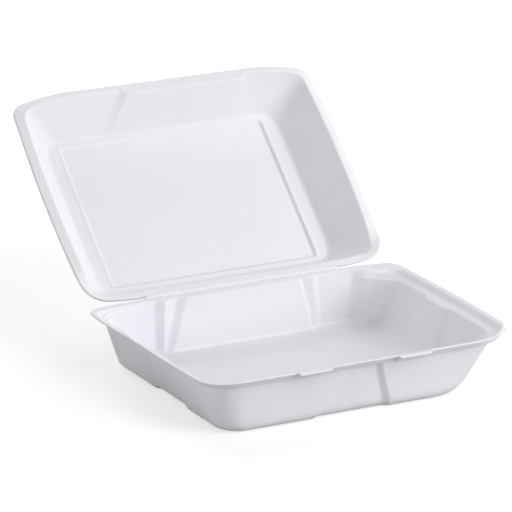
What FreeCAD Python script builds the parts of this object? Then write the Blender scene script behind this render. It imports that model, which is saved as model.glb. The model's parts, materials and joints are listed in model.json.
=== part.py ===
import FreeCAD, Part
import math
import os

# Foam clamshell food container, open as it stands on a table. Millimetres.
# X runs left to right, Y from front to back, Z up. The origin is on the table, under
# the middle of the tray.

# Tray, over its rim
trayWidth = 236.0
trayFront = 84.0
trayBack = 84.0
rimHeight = 40.0
sheet = 2.2

# Stepped rim of the tray: flat flange outside, sloping lip, ledge inside
flangeWidth = 3.5
lipHeight = 4.5
lipLean = 2.5
ledgeWidth = 3.2
backFlange = 4.6

# Walls and base of the tray: where each outer face, run on, meets the table
baseSideInset = 19.5
baseFrontInset = 11.5
baseBackInset = 4.6
baseRound = 8.0
baseRoundBack = 3.0
coveRound = 12.0
coveRoundBack = 3.5
edgeBevel = 0.7
lipBack = 1.0

# Bow of the edges seen from above: how far from the side each straight end stops, then
# the radii of ends, sides and corners
sideRadius = 1290.0
frontEndRun = 38.0
frontEndRadius = 39.0
frontCorner = 12.0
backEndRun = 48.0
backEndRadius = 160.0
backCorner = 10.0
wallCorner = 28.0
wallEndRadius = 380.0
baseEndRun = 58.0
baseEndRadius = 1500.0
baseSideRadius = 6000.0
baseCorner = 24.0

# Pressed panels in the front and side walls, narrow at the top
panelTop = 12.0
panelBottom = 23.0
panelDepth = 2.6
panelBevel = 3.0

# Two-step pressing of the back wall, which makes its V-shaped flutes. Each pair of
# values is at the bottom and at the top of the wall.
fluteShift = -3.0
outerStepHalves = (58.5, 58.5)
outerStepDepths = (2.8, 1.2)
innerStepHalves = (53.0, 43.0)
innerStepDepths = (5.6, 2.4)
stepBevel = 3.6

# Catches on the front lip
catchLength = 25.0
catchSpacing = 74.0
catchShift = -2.5
catchReach = 1.6
catchDrop = 0.7
catchHeight = 2.6
catchRound = 0.96
slotWidth = 1.1
slotDepth = 1.8
slotEnd = 2.5
slotOpen = 1.5

# Lid as it lies closed: how far its edge lies inside the tray's rim, its depth, and how
# far flange and top are set in from its edge
lidSideSet = 0.8
lidFrontSet = 4.0
lidRise = 26.1
lidFlangeSide = 7.0
lidFlangeFront = 5.0
lidFlangeBack = 6.4
lidTopSide = 26.4
lidTopFront = 24.2
lidTopBack = 18.1
lidSideRadius = 1085.0
lidFrontEndRun = 50.2
lidFrontEndRadius = 167.0
lidFrontCorner = 10.0
lidBackEndRun = 45.7
lidBackEndRadius = 218.0
lidBackCorner = 18.0
lidWallCorner = 16.0
lidTopCorner = 12.0
lidTopRound = 3.5

# Raised field of the lid's top, set in from the edge of the top
fieldSide = 12.8
fieldFront = 5.2
fieldBack = 5.5
fieldStep = 1.6
fieldBevel = 1.8

# Pressed section of the lid's front wall, at the flange and at the top
lidPanelShift = 17.5
lidPanelHalves = (44.0, 56.0)
lidPanelDepths = (4.6, 0.6)
lidPanelBevel = 4.0

# Hinge crease and the angle at which the lid stands open
hingeRise = 0.6
closingGap = 0.3
hingeSet = 0.4
beadRadius = 0.8
beadGap = 0.3
beadOver = 4.0
openAngle = 138.0

# How the faces are worked out: outlines in a rounding, how far a pressing's wedge stands
# proud of its wall, the share of the way to the wall's shape that a rounding reaches, how
# much a rim corner tightens for each millimetre of inset, and what counts as level
roundingSteps = 4
pressingProud = 4.0
footShare = 0.25
cornerShrink = 0.333
nearZero = 0.001

vec = FreeCAD.Vector


def shoulder(half, depth, sideBow, straight, endRadius, corner):
    # Tangent points of one quarter: straight end, end arc, corner arc, side arc.
    endCentre = vec(straight, depth - endRadius, 0)
    sideCentre = vec(half - sideBow, 0, 0)
    toEnd = endRadius - corner
    toSide = sideBow - corner
    line = sideCentre - endCentre
    gap = line.Length
    along = (toEnd ** 2 - toSide ** 2 + gap ** 2) / (2 * gap)
    across = math.sqrt(toEnd ** 2 - along ** 2)
    unit = line * (1 / gap)
    centre = endCentre + unit * along + vec(-unit.y, unit.x, 0) * across
    other = endCentre + unit * along - vec(-unit.y, unit.x, 0) * across
    if other.x + other.y > centre.x + centre.y:
        centre = other
    first = endCentre + (centre - endCentre) * (endRadius / toEnd)
    last = sideCentre + (centre - sideCentre) * (sideBow / toSide)
    endAngle = math.atan2(first.x - endCentre.x, first.y - endCentre.y) / 2
    endMiddle = endCentre + vec(math.sin(endAngle), math.cos(endAngle), 0) * endRadius
    outward = (first + last) * 0.5 - centre
    middle = centre + outward * (corner / outward.Length)
    return [vec(straight, depth, 0), endMiddle, first, middle, last]


def arc(a, b, c):
    return Part.Arc(a, b, c).toShape()


def outline(half, front, back, frontBow, backBow, sideBow, z):
    # Closed outline at height z. A bow is (straight half, end radius, corner radius).
    f = [vec(p.x, -p.y, z) for p in shoulder(half, front, sideBow, *frontBow)]
    b = [vec(p.x, p.y, z) for p in shoulder(half, back, sideBow, *backBow)]
    fl = [vec(-p.x, p.y, z) for p in f]
    bl = [vec(-p.x, p.y, z) for p in b]
    edges = [
        Part.LineSegment(fl[0], f[0]).toShape(),
        arc(f[0], f[1], f[2]),
        arc(f[2], f[3], f[4]),
        arc(f[4], vec(half, 0, z), b[4]),
        arc(b[4], b[3], b[2]),
        arc(b[2], b[1], b[0]),
        Part.LineSegment(b[0], bl[0]).toShape(),
        arc(bl[0], bl[1], bl[2]),
        arc(bl[2], bl[3], bl[4]),
        arc(bl[4], vec(-half, 0, z), fl[4]),
        arc(fl[4], fl[3], fl[2]),
        arc(fl[2], fl[1], fl[0]),
    ]
    return Part.Wire(edges)


def loft(wires, smooth=False):
    return Part.makeLoft(wires, True, not smooth)


def mix(a, b, t):
    return a + (b - a) * t


def trayOutline(inset, share, z):
    # Wall outline at height z. Share runs from 0 at the base to 1 at the top of the wall.
    side, front, back = inset
    corner = mix(baseCorner, wallCorner, share)
    frontBow = (mix(baseStraight, frontStraight - wallCorner / 2, share),
                mix(baseEndRadius, wallEndRadius, share), corner)
    backBow = (mix(baseStraight, backStraight - wallCorner / 2, share),
               mix(baseEndRadius, wallEndRadius, share), corner)
    return outline(trayWidth / 2 - side, trayFront - front, trayBack - back, frontBow, backBow,
                   mix(baseSideRadius, sideRadius, share), z)


def rimOutline(side, front, back, z):
    # Rim outline at height z, set in from the rim's edge.
    frontBow = (frontStraight, frontEndRadius, frontCorner - cornerShrink * side)
    backBow = (backStraight, backEndRadius, backCorner - cornerShrink * side)
    return outline(trayWidth / 2 - side, trayFront - front, trayBack - back,
                   frontBow, backBow, sideRadius, z)


def thickAcross(slope):
    # Level width of a sheet that leans by slope for each millimetre of height.
    return sheet * math.sqrt(1 + slope ** 2)


def trayInsets(z, thick):
    # Insets of the side, front and back faces at height z; thick is 0 outside and 1 inside.
    return [foot - slope * z + thick * thickAcross(slope)
            for foot, slope in zip(baseInsets, traySlopes)]


def lidInsets(w, thick):
    # The same for the lid, from its flange up; thick is 0 inside and 1 outside.
    return [edge + slope * w - thick * thickAcross(slope)
            for edge, slope in zip(lidEdges, lidSlopes)]


def roundedBand(makeOutline, insetsAt, thick, flat, wall, runs, share):
    # Smooth rounding from a flat face at one height to the walls at another.
    wires = []
    foot = insetsAt(flat, thick)
    top = insetsAt(wall, thick)
    for step in range(roundingSteps + 1):
        t = step / roundingSteps
        inset = [(1 - t) ** 2 * (a + run) + 2 * t * (1 - t) * a + t ** 2 * b
                 for a, b, run in zip(foot, top, runs)]
        wires.append(makeOutline(inset, share * t, flat + (wall - flat) * t ** 2))
    if wall < flat:
        wires.reverse()
    return loft(wires, True)


def pressing(face, normal, slope, low, high, halves, depths, bevel):
    # Wedge behind a wall's outward face, between two heights, with bevelled sides.
    # Face is where that face meets zero height and normal points out of the wall.
    across = vec(-normal.y, normal.x, 0)

    def place(height, half, depth):
        return face + normal * (slope * height - depth) + across * half + vec(0, 0, height)

    def quad(grow, depthLow, depthHigh):
        points = [place(low, -halves[0] - grow, depthLow), place(low, halves[0] + grow, depthLow),
                  place(high, halves[1] + grow, depthHigh), place(high, -halves[1] - grow, depthHigh)]
        return Part.makePolygon(points + points[:1])

    spread = bevel * (1 + pressingProud / max(depths))
    return loft([quad(spread, -pressingProud, -pressingProud), quad(0, depths[0], depths[1])])


def trayPressings(thick):
    # The pressings of the four walls, in the outer face or the inner one.
    side, front, back = trayInsets(0, thick)
    sideSlope, frontSlope, backSlope = traySlopes
    low = -pressingProud
    high = mix(ledgeUnder, rimHeight + pressingProud, thick)
    halves = (panelBottom, panelTop)
    depths = (panelDepth, panelDepth)
    wedges = []
    for turn in (1, -1):
        wedges.append(pressing(vec(turn * (trayWidth / 2 - side), 0, 0), vec(turn, 0, 0), sideSlope,
                               low, high, halves, depths, panelBevel))
    wedges.append(pressing(vec(0, front - trayFront, 0), vec(0, -1, 0), frontSlope,
                           low, high, halves, depths, panelBevel))
    rear = vec(fluteShift, trayBack - back, 0)
    high = mix(rimHeight - sheet, rimHeight + pressingProud, thick)
    for halves, depths in ((outerStepHalves, outerStepDepths), (innerStepHalves, innerStepDepths)):
        wedges.append(pressing(rear, vec(0, 1, 0), backSlope, low, high, halves, depths, stepBevel))
    return wedges


def bevelledSlab(wires):
    # Flat flange between two level outlines, its edge bevelled over and under.
    slab = loft(wires)
    rims = [e for e in slab.Edges if e.BoundBox.ZLength < nearZero]
    return slab.makeChamfer(edgeBevel, rims)


def trayOuter():
    runs = (baseRound, baseRound, baseRoundBack)
    foot = roundedBand(trayOutline, trayInsets, 0, 0, baseRound, runs, footShare)
    wall = loft([trayOutline(trayInsets(baseRound, 0), footShare, baseRound),
                 trayOutline(trayInsets(ledgeUnder, 0), 1, ledgeUnder)])
    body = foot.fuse(wall).cut(Part.makeCompound(trayPressings(0)))
    lipOut = flangeWidth + lipLean - thickAcross(lipLean / lipHeight)
    under = rimHeight - sheet
    lip = loft([rimOutline(lipOut, lipOut, lipBack, ledgeUnder),
                rimOutline(lipOut - lipLean, lipOut - lipLean, lipBack, under)])
    flange = bevelledSlab([rimOutline(0, 0, 0, under), rimOutline(0, 0, 0, rimHeight)])
    return body.fuse([lip, flange])


def trayCavity():
    runs = (coveRound, coveRound, coveRoundBack)
    foot = roundedBand(trayOutline, trayInsets, 1, sheet, sheet + coveRound, runs, footShare)
    top = rimHeight + sheet
    wall = loft([trayOutline(trayInsets(sheet + coveRound, 1), footShare, sheet + coveRound),
                 trayOutline(trayInsets(top, 1), 1, top)])
    body = foot.fuse(wall).cut(Part.makeCompound(trayPressings(1)))
    lipRun = lipLean / lipHeight
    lipFoot = flangeWidth + lipLean
    lipTop = flangeWidth - lipRun * sheet
    backInset = backFlange + lipBack
    lip = loft([rimOutline(lipFoot, lipFoot, backInset, ledgeHeight),
                rimOutline(lipTop, lipTop, backInset, top)])
    return body.fuse(lip)


def catch(middle):
    # Tongue that stands off the front lip, and the slot behind it, open at its left end.
    left = middle - catchLength / 2
    top = rimHeight - catchDrop
    tongue = Part.makeBox(catchLength, catchReach + edgeBevel, catchHeight,
                          vec(left, -trayFront - catchReach, top - catchHeight))
    tips = [e for e in tongue.Edges
            if e.BoundBox.ZLength > catchHeight / 2 and e.BoundBox.YMax < -trayFront]
    tongue = tongue.makeFillet(catchRound, tips)
    slot = Part.makeBox(catchLength - slotEnd + slotOpen, slotWidth, slotDepth + sheet,
                        vec(left - slotOpen, -trayFront - slotWidth / 2, top - slotDepth))
    return tongue, slot


def hingeBead():
    # Pressed crease along the back edge, with the web that joins it to the flange.
    bead = Part.makeCylinder(beadRadius, 2 * beadHalf, vec(-beadHalf, hingeY, hingeZ), vec(1, 0, 0))
    web = Part.makeBox(2 * beadHalf, 2 * hingeSet + sheet, sheet / 2,
                       vec(-beadHalf, trayBack - sheet, rimHeight - sheet / 2))
    webEnd = Part.makeBox(2 * beadHalf, sheet, sheet,
                          vec(-beadHalf, hingeY + beadGap, rimHeight - sheet))
    return bead.fuse(web.cut(webEnd))


def tray():
    body = trayOuter().cut(trayCavity())
    for side in (-1, 1):
        tongue, slot = catch(catchShift + side * catchSpacing / 2)
        body = body.fuse(tongue).cut(slot)
    return body.fuse(hingeBead())


def lidOutline(inset, share, w):
    # Outline of the lid as it lies closed, at height w over its flange.
    side, front, back = inset
    corner = mix(lidTopCorner, lidWallCorner, share)
    frontBow = (mix(baseStraight, lidFrontStraight - lidWallCorner / 2, share),
                mix(baseEndRadius, lidFrontEndRadius, share), corner)
    backBow = (mix(baseStraight, lidBackStraight - lidWallCorner / 2, share),
               mix(baseEndRadius, lidBackEndRadius, share), corner)
    wire = outline(lidWidth / 2 - side, lidDepth / 2 - front, lidDepth / 2 - back,
                   frontBow, backBow, mix(baseSideRadius, lidSideRadius, share), w)
    wire.translate(vec(0, -lidMiddle, 0))
    return wire


def lidFlange():
    # Flat flange of the lid as it lies closed.
    frontBow = (lidFrontStraight, lidFrontEndRadius, lidFrontCorner)
    backBow = (lidBackStraight, lidBackEndRadius, lidBackCorner)
    half = lidDepth / 2
    slab = bevelledSlab([outline(lidWidth / 2, half, half, frontBow, backBow, lidSideRadius, w)
                        for w in (0, sheet)])
    slab.translate(vec(0, -lidMiddle, 0))
    return slab


def panelBlock(base):
    # Raised field of the lid's top: bevelled block that stands on height base.
    wires = []
    for grow, w in ((fieldBevel, base - fieldStep), (fieldBevel, base),
                    (0, base + fieldStep)):
        half = lidWidth / 2 - lidTopSide - fieldSide + grow
        rear = grow - hingeSet - lidTopBack - fieldBack
        front = lidTopFront + fieldFront - grow - hingeSet - lidDepth
        field = Part.makePlane(2 * half, rear - front, vec(-half, front, w))
        wires.append(field.OuterWire)
    return loft(wires[:2]).fuse(loft(wires[1:]))


def lidSolid(thick):
    # Dome of the lid, its inner face for thick 0 and its outer face for thick 1.
    top = lidRise + thick * sheet
    low = (thick - 1) * sheet
    wall = loft([lidOutline(lidInsets(low, thick), 1, low),
                 lidOutline(lidInsets(top - lidTopRound, thick), footShare, top - lidTopRound)])
    runs = (lidTopRound, lidTopRound, lidTopRound)
    crown = roundedBand(lidOutline, lidInsets, thick, top, top - lidTopRound, runs, footShare)
    front = lidInsets(0, thick)[1]
    face = vec(lidPanelShift, -lidMiddle - lidDepth / 2 + front, 0)
    wedge = pressing(face, vec(0, -1, 0), -lidSlopes[1], low - thick * sheet, top + sheet,
                     lidPanelHalves, lidPanelDepths, lidPanelBevel)
    return wall.fuse(crown).cut(wedge).fuse(panelBlock(top))


def lid():
    # Built closed over the origin, then turned about the hinge to where it stands open.
    body = lidFlange().fuse(lidSolid(1)).cut(lidSolid(0))
    body.translate(vec(0, 0, closingGap - hingeRise))
    seat = Part.makeCylinder(beadRadius + beadGap, 2 * (beadHalf + beadGap),
                             vec(-beadHalf - beadGap, 0, 0), vec(1, 0, 0))
    body = body.cut(seat)
    body.rotate(vec(0, 0, 0), vec(1, 0, 0), -openAngle)
    body.translate(vec(0, hingeY, hingeZ))
    return body


ledgeHeight = rimHeight - lipHeight
ledgeUnder = ledgeHeight - sheet
wallTopInset = flangeWidth + lipLean + ledgeWidth
hingeY = trayBack + hingeSet
hingeZ = rimHeight + hingeRise

frontStraight = trayWidth / 2 - frontEndRun
backStraight = trayWidth / 2 - backEndRun
baseStraight = trayWidth / 2 - baseEndRun
beadHalf = backStraight + beadOver

lidWidth = trayWidth - 2 * lidSideSet
lidDepth = trayFront + trayBack - lidFrontSet
lidMiddle = hingeSet + lidDepth / 2
lidFrontStraight = lidWidth / 2 - lidFrontEndRun
lidBackStraight = lidWidth / 2 - lidBackEndRun

baseInsets = (baseSideInset, baseFrontInset, baseBackInset)
traySlopes = ((baseSideInset + sheet - wallTopInset) / ledgeHeight,
              (baseFrontInset + sheet - wallTopInset) / ledgeHeight,
              (baseBackInset + sheet - backFlange) / rimHeight)
lidEdges = (lidFlangeSide, lidFlangeFront, lidFlangeBack)
lidSlopes = ((lidTopSide - lidFlangeSide) / lidRise,
             (lidTopFront - lidFlangeFront) / lidRise,
             (lidTopBack - lidFlangeBack) / lidRise)

os.makedirs("parts", exist_ok=True)
for name, shape in (("tray", tray()), ("lid", lid())):
    shape = shape.removeSplitter()
    shape.exportStep("parts/" + name + ".step")
    print(name, shape.isValid(), len(shape.Solids), "solids", round(shape.Volume), "mm3",
          len(shape.Faces), "faces", shape.optimalBoundingBox())
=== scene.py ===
import json
import math
import bpy
import numpy as np
from mathutils import Matrix, Vector


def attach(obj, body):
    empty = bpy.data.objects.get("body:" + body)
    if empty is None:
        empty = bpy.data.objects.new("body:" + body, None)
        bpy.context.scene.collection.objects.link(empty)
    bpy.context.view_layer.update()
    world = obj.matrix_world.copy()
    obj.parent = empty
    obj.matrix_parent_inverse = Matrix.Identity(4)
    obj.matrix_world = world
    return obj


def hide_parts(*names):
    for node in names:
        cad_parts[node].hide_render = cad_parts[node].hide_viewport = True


# Foam clamshell container. Sizes are in millimetres and become metres where a mesh is made.
mm = 0.001
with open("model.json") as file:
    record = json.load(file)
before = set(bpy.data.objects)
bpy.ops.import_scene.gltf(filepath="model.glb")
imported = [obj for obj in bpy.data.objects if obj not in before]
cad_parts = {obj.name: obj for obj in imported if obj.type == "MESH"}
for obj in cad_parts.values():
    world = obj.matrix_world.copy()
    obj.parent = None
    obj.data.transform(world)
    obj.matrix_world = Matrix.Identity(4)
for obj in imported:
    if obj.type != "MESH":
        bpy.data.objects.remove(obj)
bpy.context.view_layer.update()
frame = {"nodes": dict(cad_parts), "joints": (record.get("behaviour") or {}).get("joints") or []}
print("frame loaded:", sorted(frame["nodes"]))

# The lid turns about the frame's only joint, from where it stands open to shut.
lidJoint = frame["joints"][0]
hingeY, hingeZ = (place / mm for place in lidJoint["pos_m"][1:])
openAngle = lidJoint["range_deg"][1]


def smooth(t):
    t = np.clip(t, 0, 1)
    return t * t * (3 - 2 * t)


def ramp(value, start, run):
    # Rises from 0 to 1 while the value goes from start to start + run.
    return smooth((value - start) / run)


def between(value, start, end, ease):
    return ramp(value, start, ease) * ramp(-value, -end, ease)


def addObject(name, data):
    made = bpy.data.objects.new(name, data)
    bpy.context.scene.collection.objects.link(made)
    return made


# Outlines: every ring of the foam follows the same bowed outline. A shape is the straight half
# and end radius at the front, the same at the back, the side radius, the corner radii (front
# right, back right, back left, front left), then the straight half and radius at the front left.

bowColumns = [1, 3, 4, 10]  # places of the end and side radii in a shape
cornerGap = 1.0  # between the last evenly set point of an end and its corner
mostRun = 0.48  # largest share of a stretch that the rounding of one bend takes


def quarterPoints(half, depth, straight, endRadius, corner, sideBow, ends, sides, steps):
    # Points from the middle of an end to the middle of a side, in the first quadrant. The
    # corner's arc touches the end's and the side's, so its centre's distance from theirs is known.
    endCentre = np.array([straight, depth - endRadius])
    sideCentre = np.array([half - sideBow, 0.0])
    toEnd = endRadius - corner
    toSide = sideBow - corner
    line = sideCentre - endCentre
    gap = math.hypot(*line)
    along = (toEnd ** 2 - toSide ** 2 + gap ** 2) / (2 * gap)
    across = math.sqrt(max(toEnd ** 2 - along ** 2, 0))
    unit = line / gap
    turn = np.array([-unit[1], unit[0]])
    centres = [endCentre + unit * along + turn * way * across for way in (1, -1)]
    centre = max(centres, key=lambda c: c[0] + c[1])
    first = endCentre + (centre - endCentre) * (endRadius / toEnd)
    last = sideCentre + (centre - sideCentre) * (sideBow / toSide)

    def onEnd(x):
        rise = np.sqrt(endRadius ** 2 - np.maximum(x - straight, 0) ** 2)
        return np.stack([x, depth - endRadius + rise], 1)

    def onSide(y):
        return np.stack([half - sideBow + np.sqrt(sideBow ** 2 - y ** 2), y], 1)

    ends = ends * min(1, (first[0] - cornerGap) / ends[-1])
    t = np.linspace(0, 1, steps + 1)
    startAngle = math.atan2(*(first - centre)[::-1])
    endAngle = math.atan2(*(last - centre)[::-1])
    angles = startAngle + (endAngle - startAngle) * t
    bend = centre + corner * np.stack([np.cos(angles), np.sin(angles)], 1)
    toFirst = onEnd(ends[-1] + (first[0] - ends[-1]) * t[1:-1])
    fromLast = onSide(last[1] + (sides[-1] - last[1]) * t[1:-1])
    return np.concatenate([onEnd(ends), toFirst, bend, fromLast, onSide(sides[::-1])])


def evenly(run, step):
    return np.arange(0, run + 0.1, step)


def ringPoints(halves, depths, shape, spacing):
    # One closed ring, from the front's middle to the right, the back, the left and round.
    frontEnds = evenly(spacing["frontRun"], spacing["front"])
    backEnds = evenly(spacing["backRun"], spacing["back"])
    sides = evenly(spacing["sideRun"], spacing["side"])
    left, right = halves
    front, back = depths
    quarters = []
    for half, depth, bow, corner, ends, flip in (
            (right, front, shape[0:2], shape[5], frontEnds, (1, -1)),
            (right, back, shape[2:4], shape[6], backEnds, (1, 1)),
            (left, back, shape[2:4], shape[7], backEnds, (-1, 1)),
            (left, front, shape[9:11], shape[8], frontEnds, (-1, -1))):
        points = quarterPoints(half, depth, *bow, corner, shape[4], ends, sides, spacing["bend"])
        quarters.append(points * np.array(flip))
    nearRight, farRight, farLeft, nearLeft = quarters
    return np.concatenate([nearRight, farRight[::-1][1:], farLeft[1:], nearLeft[::-1][1:-1]])


def ringShapes(kinds, shapes):
    # Shape of each ring, mixed from the named ones. End and side radii mix as curvatures.
    table = np.array(shapes, float)
    table[:, bowColumns] = 1 / table[:, bowColumns]
    columns = [np.interp(kinds, np.arange(len(shapes)), column) for column in table.T]
    rings = np.stack(columns, 1)
    rings[:, bowColumns] = 1 / rings[:, bowColumns]
    return rings


def roundedPath(corners, runs, fills, steps):
    # Section through corner points, each rounded over its run, with even points between.
    out = []
    last = corners[0]
    for i in range(1, len(corners) - 1):
        here = corners[i]
        toward = corners[i - 1] - here
        away = corners[i + 1] - here
        start = here + toward * min(runs[i] / np.linalg.norm(toward[:2]), mostRun)
        end = here + away * min(runs[i] / np.linalg.norm(away[:2]), mostRun)
        for k in range(fills[i - 1]):
            out.append(last + (start - last) * (k / fills[i - 1]))
        for k in range(steps):
            t = k / steps
            out.append((1 - t) ** 2 * start + 2 * t * (1 - t) * here + t ** 2 * end)
        last = end
    for k in range(fills[-1]):
        out.append(last + (corners[-1] - last) * (k / fills[-1]))
    out.append(corners[-1])
    return np.array(out)


def sections(f, pathOf):
    # Sections of the four sides, point by point: inset, height, kind of outline, then the marks.
    paths = []
    for name in ("left", "right", "front", "back"):
        corners, runs = pathOf(f, name)
        marked = np.hstack([corners, np.array(f["marks"], float)])
        paths.append(roundedPath(marked, runs, f["fills"], f["bendSteps"]))
    return paths


def roundToEnds(f, y, side, front, back):
    # Height that turns at the corners from the sides' to the front's and the back's.
    atBack = ramp(y, *f["backBlend"])
    atFront = ramp(-y, *f["frontBlend"])
    return side + atBack * (back - side) + atFront * (front - side)


def creased(across, t, stops):
    # Depth of straight-edged pressings. A stop is a place and a depth at the foot, then at the top.
    table = np.array(stops, float)
    places = table[:, 0] + (table[:, 2] - table[:, 0]) * t
    depths = table[:, 1] + (table[:, 3] - table[:, 1]) * t
    return np.interp(across, places, depths)


def drawnIn(ring, centre, shares):
    return [centre + (ring - centre) * t for t in shares]


def foamMesh(name, rings, middles=()):
    # Closed mesh through the rings. Each end is a fan about a middle, or one face without it.
    count, around = rings.shape[:2]
    points = rings.reshape(-1, 3)
    faces = []
    for j in range(count - 1):
        for i in range(around):
            k = (i + 1) % around
            faces.append((j * around + i, j * around + k, (j + 1) * around + k, (j + 1) * around + i))
    last = (count - 1) * around
    if len(middles):
        points = np.concatenate([points, np.array(middles)])
        middle = count * around
        for i in range(around):
            k = (i + 1) % around
            faces.append((middle, k, i))
            faces.append((middle + 1, last + i, last + k))
    else:
        faces.append(tuple(range(around))[::-1])
        faces.append(tuple(last + i for i in range(around)))
    mesh = bpy.data.meshes.new(name)
    mesh.from_pydata([tuple(p) for p in points * mm], [], faces)
    mesh.validate()
    mesh.shade_smooth()
    return addObject(name, mesh)


# Tray

trayForm = {
    "half": 118.0, "front": 84.0, "back": 84.0, "rim": 40.0, "sheet": 2.2, "thin": 1.4,
    "flange": 3.5, "lipHeight": 4.5, "lipLean": 2.5, "backFlange": 4.6,
    "flangeRise": (-0.7, 0.1),  # of the flange's inner edge, and of its back edge
    # Each wall: inset of its foot, ledge's width, rounding of the base's edge and of the floor's,
    # drop of the ledge
    "walls": {"left": (19.7, 2.0, 8.0, 12.0, 0.0), "right": (25.2, 3.8, 8.0, 12.0, 0.9),
              "front": (11.5, 3.2, 8.0, 12.0, 0.0), "back": (0.6, 0.0, 3.0, 2.2, 0.0)},
    # Outlines of the floor, the base, the wall and the rim
    "shapes": ((60, 1500, 60, 1500, 6000, 14, 12, 10, 10, 60, 1500),
               (60, 1500, 60, 1500, 6000, 36, 18, 24, 16, 60, 1500),
               (72, 380, 62, 380, 1290, 27, 24, 10, 22, 76, 500),
               (80, 39, 70, 200, 1290, 11, 10, 9, 15, 86, 60)),
    # Each corner of the section, from the floor over the rim to the base: kind of outline, then
    # how far the walls' panels, the catches and the flutes reach it
    "marks": ((0, 1, 0, 1), (1, 1, 0, 1), (2, 1, 0, 1), (2.7, 0, 0, 1), (3, 0, 0.2, 1), (3, 0, 1, 0),
              (3, 0, 1, 0), (2.45, 0, 1, 0), (2.1, 0, 0.2, 0), (2, 1, 0, 1), (1, 1, 0, 1), (0, 1, 0, 1)),
    "fills": (2, 14, 2, 3, 6, 1, 2, 3, 2, 14, 2),
    # Rounding of the section's bends over the rim, and in the plain back wall
    "bends": (1.1, 1.1, 1.1, 0.65, 0.65, 0.9, 1.6, 2.0),
    "backBends": (0.5, 0.5, 1.1, 0.65, 0.65, 0.6, 0.5, 0.5),
    "bendSteps": 7, "wallMarks": (2.0, 1.0), "overrun": 6.0,
    "backBlend": (52.0, 24.0), "frontBlend": (50.0, 22.0), "frontZone": (50.0, 60.0), "sideZone": 40.0,
    "cornerReach": (2.6, 1.0), "cornerRamps": ((80.0, 25.0), (10.0, 50.0)),
    "sidePanel": ((-24.5, 0.0, -13.5, 0.0), (-21.5, 2.6, -10.5, 2.4),
                  (21.5, 2.6, 10.5, 2.4), (24.5, 0.0, 13.5, 0.0)),
    "panelShift": 8.0,  # of the right side's panel towards the back
    "frontPanel": ((-32.9, 0.0, -7.0, 0.0), (-28.5, 2.6, -2.6, 2.6),
                   (20.3, 2.6, 8.2, 2.6), (24.7, 0.0, 12.4, 0.0)),
    "flutes": ((-66.0, 0.0, -68.5, 0.0), (-60.6, 2.4, -62.8, 4.2), (-60.3, 2.4, -51.1, 0.5),
               (-55.2, 4.8, -45.7, 3.7), (51.5, 4.8, 40.0, 3.7), (54.0, 2.9, 42.6, 0.5),
               (57.0, 2.3, 51.0, 2.6), (61.5, 0.0, 55.5, 0.0), (83.0, 0.0, 83.0, 0.0),
               (89.0, 3.9, 89.0, 3.9), (100.0, 6.2, 100.0, 6.2)),
    "catchLength": 25.0, "catchSpacing": 74.0, "catchShift": -2.5, "catchReach": 1.9, "catchDrop": 0.9,
    "catchEase": 0.9,
    "notch": (2.2, 0.6), "notchDepth": 1.6, "notchDrop": 1.2,  # before and after the catch's end
    "floorRings": (0.9, 0.75, 0.55, 0.35, 0.15),
    "spacing": {"frontRun": 58, "front": 0.75, "backRun": 70, "back": 0.9, "sideRun": 40,
                "side": 2.0, "bend": 14},
}


def trayPath(f, name):
    # Section from the floor's edge over the rim to the base's edge: inset and height.
    foot, shelf, baseRun, floorRun, drop = f["walls"][name]
    atBack = name == "back"
    floor, rim = f["sheet"], f["rim"]
    ledge = rim - f["lipHeight"]
    lipFoot = f["flange"] + f["lipLean"]
    lean = f["lipLean"] / f["lipHeight"]
    if atBack:
        slope = (foot + f["sheet"] - f["backFlange"]) / rim
    else:
        slope = (foot + f["sheet"] - lipFoot - shelf) / ledge

    def outer(z):
        return foot - slope * z

    def inner(z):
        return outer(z) + f["sheet"] * math.sqrt(1 + slope ** 2)

    def lipOut(z):
        return f["flange"] + lean * (rim - z) - f["thin"] * math.sqrt(1 + lean ** 2)

    low, high = f["flangeRise"]
    below, above = f["wallMarks"]
    under = rim - f["thin"]
    deep = ledge - f["thin"]
    if atBack:
        middle = [(inner(ledge - below), ledge - below), (inner(ledge + above), ledge + above),
                  (inner(rim), rim + low), (0, rim + high), (0, under), (outer(under), under),
                  (outer(under - below), under - below), (outer(deep - above), deep - above)]
    else:
        middle = [(inner(ledge), ledge - drop), (lipFoot, ledge), (f["flange"], rim + low), (0, rim),
                  (0, under), (lipOut(under), under), (lipOut(deep), deep), (outer(deep), deep)]
    start = [(inner(floor) + floorRun + f["overrun"], floor), (inner(floor), floor)]
    finish = [(outer(0), 0), (outer(0) + baseRun + f["overrun"], 0)]
    bends = f["backBends"] if atBack else f["bends"]
    return np.array(start + middle + finish, float), [0, floorRun, *bends, baseRun, 0]


def drawCorner(f, flat, kind):
    # The rim's back left corner is drawn out a little.
    x, y = flat[:, 0], flat[:, 1]
    share = smooth(kind - 2) * (x < 0) * (y > 0)
    reachX, reachY = f["cornerReach"]
    rampX, rampY = f["cornerRamps"]
    moved = [-reachX * share * ramp(y, *rampY), reachY * share * ramp(-x, *rampX)]
    return flat + np.stack(moved, 1)


def onFront(f, flat):
    deep, wide = f["frontZone"]
    return (flat[:, 1] < -deep) & (np.abs(flat[:, 0]) < wide)


def pressWalls(f, flat, up, wall, flute):
    # Panels in the side and front walls, and the back wall's flutes. Each wall has its own up, 0
    # at its foot and 1 at the rim.
    x, y = flat[:, 0], flat[:, 1]
    upSide, upFront, upBack = up
    along = y - f["panelShift"] * (x > 0)
    side = wall * (np.abs(y) < f["sideZone"]) * creased(along, upSide, f["sidePanel"])
    front = wall * onFront(f, flat) * creased(x, upFront, f["frontPanel"])
    back = flute * ramp(y, *f["backBlend"]) * creased(x, upBack, f["flutes"])
    return x - np.sign(x) * side, y + front - back


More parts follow.
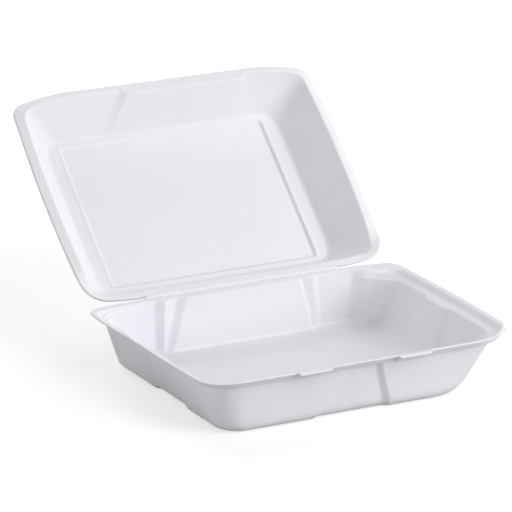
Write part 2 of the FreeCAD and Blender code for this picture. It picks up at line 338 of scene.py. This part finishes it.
def addCatches(f, flat, y, z, rim):
    # Two catches stand out on the front lip, with a notch at the left end of each.
    x = flat[:, 0]
    reach = rim * onFront(f, flat)
    before, after = f["notch"]
    for side in (-1, 1):
        start = f["catchShift"] + side * f["catchSpacing"] / 2 - f["catchLength"] / 2
        on = reach * between(x, start, start + f["catchLength"], f["catchEase"])
        cut = reach * between(x, start - before, start + after, f["catchEase"])
        y = y - on * f["catchReach"] + cut * f["notchDepth"]
        z = z - on * f["catchDrop"] - cut * f["notchDrop"]
    return y, z


def makeTray():
    f = trayForm
    left, right, front, back = sections(f, trayPath)
    shapes = ringShapes(left[:, 2], f["shapes"])
    rings = []
    plain = []
    for j in range(len(left)):
        halves = (f["half"] - left[j, 0], f["half"] - right[j, 0])
        depths = (f["front"] - front[j, 0], f["back"] - back[j, 0])
        kind, wall, rim, flute = left[j, 2:]
        flat = drawCorner(f, ringPoints(halves, depths, shapes[j], f["spacing"]), kind)
        sideZ = np.where(flat[:, 0] > 0, right[j, 1], left[j, 1])
        z = roundToEnds(f, flat[:, 1], sideZ, front[j, 1], back[j, 1])
        plain.append(np.column_stack([flat, z]))
        up = [path[j, 1] / f["rim"] for path in (left, front, back)]
        x, y = pressWalls(f, flat, up, wall, flute)
        y, z = addCatches(f, flat, y, z, rim)
        rings.append(np.stack([x, y, z], 1))
    upright = np.array([0, 0, 1])
    inside = drawnIn(plain[0], plain[0].mean(0) * upright, f["floorRings"][::-1])
    outside = drawnIn(plain[-1], plain[-1].mean(0) * upright, f["floorRings"])
    piece = foamMesh("trayFoam", np.array(inside + rings + outside), [(0, 0, f["sheet"]), (0, 0, 0)])
    print("tray:", len(piece.data.polygons), "faces")
    return piece


# Crease, the pressed bead between tray and lid

creaseForm = {
    "bead": 1.3, "half": 74.0, "taper": 3.0, "endShare": 0.35,
    "around": 12, "lengths": 61,
}


def makeCrease():
    # Round bead about the line that the lid turns on, thinner at its ends.
    f = creaseForm
    angles = 2 * math.pi * np.arange(f["around"]) / f["around"]
    rings = []
    for x in np.linspace(-f["half"], f["half"], f["lengths"]):
        taper = smooth((f["half"] - abs(x)) / f["taper"])
        radius = f["bead"] * (f["endShare"] + (1 - f["endShare"]) * taper)
        y = hingeY + radius * np.cos(angles)
        z = hingeZ + radius * np.sin(angles)
        rings.append(np.stack([np.full(f["around"], x), y, z], 1))
    piece = foamMesh("hingeCrease", np.array(rings))
    print("crease made")
    return piece


# Lid, in its own measures: u across, v from the hinge to its front edge, w outwards

lidForm = {
    "halves": (116.4, 117.3), "depth": 164.0, "rise": 26.1, "sheet": 2.2,
    "hingeSet": 0.4, "seat": 0.3,  # how far the flange lies before and over the hinge when shut
    # Each side: flange, inset of the wall's top, field's border, height of the flange's outer
    # edge and of its inner edge
    "sides": {"left": (6.4, 27.3, 11.7, 1.1, -0.3), "right": (6.8, 27.2, 11.6, 0.9, -0.3),
              "front": (4.4, 24.2, 5.2, 2.0, -0.3), "back": (6.4, 18.1, 5.5, 0.0, 2.6)},
    # Outlines of the field, the wall's top, its foot and the rim
    "shapes": ((60, 9000, 60, 9000, 9000, 2.5, 2.5, 2.5, 2.5, 60, 9000),
               (60, 1500, 60, 1500, 6000, 12, 14, 12, 12, 60, 1500),
               (58, 167, 66, 420, 900, 9, 9, 12, 10, 58, 167),
               (66, 167, 70.5, 218, 900, 10, 18, 18, 10, 66, 167)),
    # Each corner of the section, from the field inside to the field outside: kind of outline,
    # then how far the front's panel and the trim along the crease reach it
    "marks": ((0, 0, 0), (0, 0, 0), (0, 0, 0), (0.1, 0, 0), (1, 1, 0), (2, 1, 0), (3, 0, 1),
              (3, 0, 1), (2, 1, 0), (1, 1, 0), (0, 0, 0), (0, 0, 0), (0, 0, 0)),
    "fills": (1, 1, 1, 2, 12, 4, 1, 4, 12, 2, 1, 1),
    "bends": (0.5, 0.5, 1.0, 2.0, 0.9, 0.7, 0.7, 0.9, 2.0, 0.5, 0.5),
    "bendSteps": 7, "overrun": 3.0,
    "backBlend": (50.0, 22.0), "frontBlend": (50.0, 22.0), "panelZone": 40.0,
    "fieldStep": 1.6, "fieldBevel": 1.8, "ridge": 0.4, "ridgeRun": 2.2,
    "panel": ((-30.5, 0.0, -42.5, 0.0), (-26.5, 4.6, -38.5, 0.6),
              (61.5, 4.6, 47.5, 0.6), (65.5, 0.0, 77.5, 0.0)),
    "trim": 1.0, "trimPast": 2.0, "trimEase": 3.0,
    "fieldRings": (0.92, 0.75, 0.55, 0.35, 0.15),
    "spacing": {"frontRun": 54, "front": 1.5, "backRun": 54, "back": 2.5, "sideRun": 36,
                "side": 2.5, "bend": 14},
}


def lidPath(f, name):
    # Section from the field's edge inside over the flange to the field's edge outside.
    flange, top, border, curl, lift = f["sides"][name]
    slope = (top - flange) / (f["rise"] - lift)

    def outer(w):
        return flange + slope * (w - lift) - f["sheet"] * math.sqrt(1 + slope ** 2)

    crown = f["rise"]
    over = crown + f["sheet"]
    under = lift + f["sheet"]
    step = f["fieldStep"]
    inEdge = top + border + f["fieldBevel"] / 2
    outEdge = inEdge - f["fieldBevel"]
    field = inEdge + f["overrun"]
    corners = [
        (field, crown + step), (inEdge, crown + step), (outEdge, crown - f["ridge"]),
        (outEdge - f["ridgeRun"], crown), (top, crown), (flange, lift), (0, curl),
        (0, curl + f["sheet"]), (outer(under), under), (outer(over), over), (outEdge, over),
        (inEdge, over + step), (field, over + step),
    ]
    return np.array(corners, float), [0, *f["bends"], 0]


def makeLid():
    f = lidForm
    left, right, front, back = sections(f, lidPath)
    shapes = ringShapes(left[:, 2], f["shapes"])
    creaseEnd = creaseForm["half"] + f["trimPast"]
    rings = []
    for j in range(len(left)):
        halves = (f["halves"][0] - left[j, 0], f["halves"][1] - right[j, 0])
        depths = (f["depth"] / 2 - front[j, 0], f["depth"] / 2 - back[j, 0])
        flat = ringPoints(halves, depths, shapes[j], f["spacing"])
        x, y = flat[:, 0], flat[:, 1]
        sideW = left[j, 1]
        wall, rim = left[j, 3:]
        w = roundToEnds(f, y, sideW, front[j, 1], back[j, 1])
        up = np.clip(sideW / f["rise"], 0, 1)
        panel = wall * (y < -f["panelZone"]) * creased(x, up, f["panel"])
        # Along the crease the edge keeps clear of the bead.
        trim = rim * f["trim"] * (y > 0) * smooth((creaseEnd - np.abs(x)) / f["trimEase"])
        rings.append(np.stack([x, y + panel - trim, w], 1))
    centre = rings[0].mean(0)
    centreOut = rings[-1].mean(0)
    inside = drawnIn(rings[0], centre, f["fieldRings"][::-1])
    outside = drawnIn(rings[-1], centreOut, f["fieldRings"])
    piece = foamMesh("lidFoam", np.array(inside + rings + outside), [centre, centreOut])
    # Modelled shut, in front of the hinge, then turned open about it.
    shut = Matrix.Translation(Vector((0, -f["hingeSet"] - f["depth"] / 2, -f["seat"])) * mm)
    place = Matrix.Translation(Vector((0, hingeY, hingeZ)) * mm)
    piece.data.transform(place @ Matrix.Rotation(math.radians(-openAngle), 4, "X") @ shut)
    print("lid:", len(piece.data.polygons), "faces")
    return piece


# Foam finish

foamFinish = {
    "color": (0.80, 0.80, 0.835), "shade": (0.775, 0.775, 0.81),
    "roughness": (0.48, 0.64), "patchSize": 40.0, "patchDetail": 4.0,
    "cellSize": 1100.0, "cellHeight": 0.00005,
    "grainSize": 3200.0, "grainDetail": 3.0, "grainHeight": 0.00003, "grainTint": 0.12,
    "waveSize": 26.0, "waveDetail": 2.0, "waveHeight": 0.0002,
}


def newMaterial(name):
    material = bpy.data.materials.new(name)
    material.use_nodes = True
    return material, material.node_tree.nodes, material.node_tree.links


def foamMaterial():
    f = foamFinish
    material, nodes, links = newMaterial("whiteFoam")
    shader = nodes["Principled BSDF"]
    place = nodes.new("ShaderNodeTexCoord")

    def noise(scale, detail):
        node = nodes.new("ShaderNodeTexNoise")
        node.inputs["Scale"].default_value = scale
        node.inputs["Detail"].default_value = detail
        links.new(place.outputs["Object"], node.inputs["Vector"])
        return node.outputs["Fac"]

    def bump(height, distance, under=None):
        node = nodes.new("ShaderNodeBump")
        node.inputs["Strength"].default_value = 1.0
        node.inputs["Distance"].default_value = distance
        links.new(height, node.inputs["Height"])
        if under:
            links.new(under, node.inputs["Normal"])
        return node.outputs["Normal"]

    waves = noise(f["waveSize"], f["waveDetail"])
    patches = noise(f["patchSize"], f["patchDetail"])
    grain = noise(f["grainSize"], f["grainDetail"])
    cells = nodes.new("ShaderNodeTexVoronoi")
    cells.inputs["Scale"].default_value = f["cellSize"]
    links.new(place.outputs["Object"], cells.inputs["Vector"])

    # Tint: soft patches of slightly denser foam, with a faint grain in them.
    speck = nodes.new("ShaderNodeMix")
    speck.inputs["Factor"].default_value = f["grainTint"]
    links.new(patches, speck.inputs["A"])
    links.new(grain, speck.inputs["B"])
    tint = nodes.new("ShaderNodeMix")
    tint.data_type = "RGBA"
    tint.inputs["A"].default_value = (*f["shade"], 1)
    tint.inputs["B"].default_value = (*f["color"], 1)
    links.new(speck.outputs["Result"], tint.inputs["Factor"])
    links.new(tint.outputs["Result"], shader.inputs["Base Color"])

    gloss = nodes.new("ShaderNodeMapRange")
    gloss.inputs["To Min"].default_value = f["roughness"][0]
    gloss.inputs["To Max"].default_value = f["roughness"][1]
    links.new(patches, gloss.inputs["Value"])
    links.new(gloss.outputs["Result"], shader.inputs["Roughness"])

    # Relief, from the broad waves of the sheet down to its grain
    dents = bump(waves, f["waveHeight"])
    beads = bump(cells.outputs["Distance"], f["cellHeight"], dents)
    links.new(bump(grain, f["grainHeight"], beads), shader.inputs["Normal"])
    return material


foam = foamMaterial()
trayFoam = makeTray()
lidFoam = makeLid()
crease = makeCrease()
for piece in (trayFoam, lidFoam, crease):
    piece.data.materials.append(foam)
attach(trayFoam, "tray")
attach(crease, "tray")
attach(lidFoam, "lid")
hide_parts("tray")
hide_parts("lid")


# Studio: pale floor and soft light, in metres

studio = {
    "floorSize": 6.0, "floorColor": (0.55, 0.55, 0.55), "floorRoughness": 0.9,
    "floorGlow": 0.25, "glowStrength": 2.54,
    "far": 2.2, "aim": (0, 0.05, 0.05), "panel": 1.2,
    # Each lamp: azimuth from the front towards the right, elevation, watts
    "lamps": {"key": (35, 20, 30.8), "front": (30, 50, 17.0), "right": (110, 20, 13.4),
              "rightTop": (90, 50, 4.6), "fill": (-70, 20, 10.0), "left": (265, 6, 13.0),
              "rear": (180, 20, 17.0), "rearTop": (180, 50, 14.0)},
}


def areaLight(name, azimuth, elevation, power):
    s = studio
    turn, rise = math.radians(azimuth), math.radians(elevation)
    across = math.cos(rise)
    toward = Vector((math.sin(turn) * across, -math.cos(turn) * across, math.sin(rise)))
    data = bpy.data.lights.new(name, "AREA")
    data.size = s["panel"]
    data.energy = power
    lamp = addObject(name, data)
    lamp.location = Vector(s["aim"]) + toward * s["far"]
    lamp.rotation_euler = (-toward).to_track_quat("-Z", "Y").to_euler()


def makeFloor():
    # The floor takes the object's shadow. Its glow, which only the camera sees, makes it white.
    s = studio
    size = s["floorSize"]
    corners = [(-size, -size, 0), (size, -size, 0), (size, size, 0), (-size, size, 0)]
    mesh = bpy.data.meshes.new("floor")
    mesh.from_pydata(corners, [], [(0, 1, 2, 3)])
    floor = addObject("floor", mesh)
    material, nodes, links = newMaterial("paleFloor")
    shader = nodes["Principled BSDF"]
    shader.inputs["Base Color"].default_value = (*s["floorColor"], 1)
    shader.inputs["Roughness"].default_value = s["floorRoughness"]
    glow = nodes.new("ShaderNodeEmission")
    glow.inputs["Strength"].default_value = s["glowStrength"]
    path = nodes.new("ShaderNodeLightPath")
    share = nodes.new("ShaderNodeMath")
    share.operation = "MULTIPLY"
    share.inputs[1].default_value = s["floorGlow"]
    mix = nodes.new("ShaderNodeMixShader")
    links.new(path.outputs["Is Camera Ray"], share.inputs[0])
    links.new(share.outputs[0], mix.inputs[0])
    links.new(shader.outputs[0], mix.inputs[1])
    links.new(glow.outputs[0], mix.inputs[2])
    links.new(mix.outputs[0], nodes["Material Output"].inputs["Surface"])
    mesh.materials.append(material)


def makeWorld():
    # White to the camera alone, so that the lamps do all the lighting.
    world = bpy.data.worlds.new("studio")
    bpy.context.scene.world = world
    world.use_nodes = True
    nodes = world.node_tree.nodes
    path = nodes.new("ShaderNodeLightPath")
    back = nodes["Background"]
    world.node_tree.links.new(path.outputs["Is Camera Ray"], back.inputs["Strength"])
    back.inputs["Color"].default_value = (1, 1, 1, 1)


# Camera at the photograph's viewing angle: place in metres, and its right and up directions

cameraView = {
    "place": (-1.37397, -2.35035, 0.99352),
    "right": (0.87245, -0.48827, 0.02065), "up": (0.13769, 0.28614, 0.94824),
    "focalPixels": 4412.9, "framePixels": 512, "sensor": 36.0, "farthest": 20.0,
}


def makeCamera():
    c = cameraView
    data = bpy.data.cameras.new("camera")
    data.sensor_width = c["sensor"]
    data.lens = c["focalPixels"] * c["sensor"] / c["framePixels"]
    data.clip_end = c["farthest"]
    camera = addObject("camera", data)
    right = Vector(c["right"]).normalized()
    up = Vector(c["up"])
    up = (up - right * up.dot(right)).normalized()
    axes = Matrix((right, up, right.cross(up))).transposed()
    camera.matrix_world = Matrix.Translation(c["place"]) @ axes.to_4x4()
    bpy.context.scene.camera = camera


makeFloor()
makeWorld()
for name, lamp in studio["lamps"].items():
    areaLight(name, *lamp)
makeCamera()
bpy.context.scene.view_settings.view_transform = "Standard"
print("studio made")
